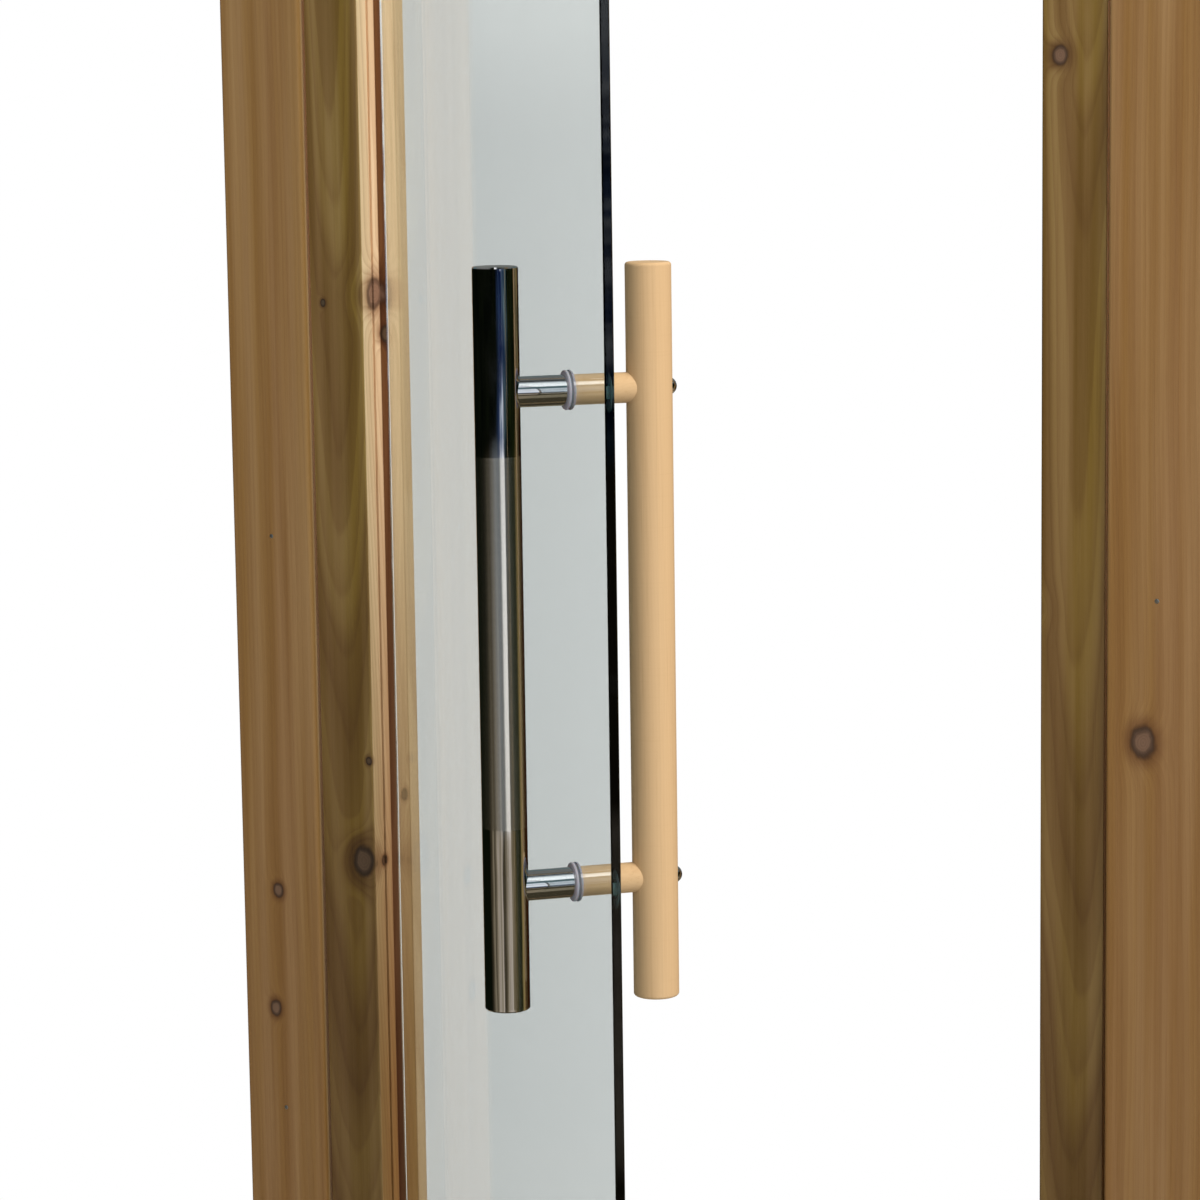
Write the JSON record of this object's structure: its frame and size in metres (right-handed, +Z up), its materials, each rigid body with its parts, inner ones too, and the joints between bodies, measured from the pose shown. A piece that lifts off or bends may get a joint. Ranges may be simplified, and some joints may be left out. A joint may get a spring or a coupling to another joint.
{
  "type": "sauna door",
  "caption": "Glazed sauna door: a frameless glass leaf with a back-to-back steel and wood pull handle, hung on lift-off hinges in a rebated timber frame with casings.",
  "frame": {"origin": "centre of the sill's underside", "axes": "+X from the hinges to the free edge, +Y into the room, +Z up"},
  "size_m": [0.768, 0.3876, 1.911],
  "materials": {
    "frame_timber": "planed softwood, unpainted",
    "handle_wood": "turned and sanded pale hardwood",
    "brushed_bar": "brushed in the middle, polished towards both ends",
    "polished_steel": "polished",
    "hinge_steel": "satin",
    "door_glass": "clear toughened glass",
    "nylon": "translucent",
    "rubber_pad": "matt",
    "brass": "plain"
  },
  "bodies": {
    "frame": {"sill": "frame_timber", "hinge_jamb": "frame_timber", "latch_jamb": "frame_timber", "head": "frame_timber", "hinge_casing": "frame_timber", "latch_casing": "frame_timber", "head_casing": "frame_timber", "inner_hinge_casing": "frame_timber", "inner_latch_casing": "frame_timber", "inner_head_casing": "frame_timber", "upper_jamb_plate": "hinge_steel", "lower_jamb_plate": "hinge_steel", "upper_hinge_pin": "polished_steel", "lower_hinge_pin": "polished_steel", "upper_hinge_ring": "brass", "lower_hinge_ring": "brass"},
    "leaf": {"glass_pane": "door_glass", "steel_bar": "brushed_bar", "steel_bar_top_cap": "polished_steel", "steel_bar_bottom_cap": "polished_steel", "upper_steel_post": "polished_steel", "lower_steel_post": "polished_steel", "upper_outer_washer": "nylon", "lower_outer_washer": "nylon", "upper_inner_washer": "nylon", "lower_inner_washer": "nylon", "upper_wood_post": "handle_wood", "lower_wood_post": "handle_wood", "wood_bar": "handle_wood", "upper_handle_bolt": "polished_steel", "lower_handle_bolt": "polished_steel", "upper_outer_clamp": "hinge_steel", "lower_outer_clamp": "hinge_steel", "upper_inner_clamp": "hinge_steel", "lower_inner_clamp": "hinge_steel", "upper_outer_pad": "rubber_pad", "lower_outer_pad": "rubber_pad", "upper_inner_pad": "rubber_pad", "lower_inner_pad": "rubber_pad", "upper_clamp_screws": "polished_steel", "lower_clamp_screws": "polished_steel"}
  },
  "joints": [
    {"name": "door_swing", "type": "hinge", "parent": "frame", "child": "leaf", "pos_m": [-0.264, -0.03475, 0.917], "axis": [0, 0, -1], "range_deg": [-40, 60]}
  ]
}
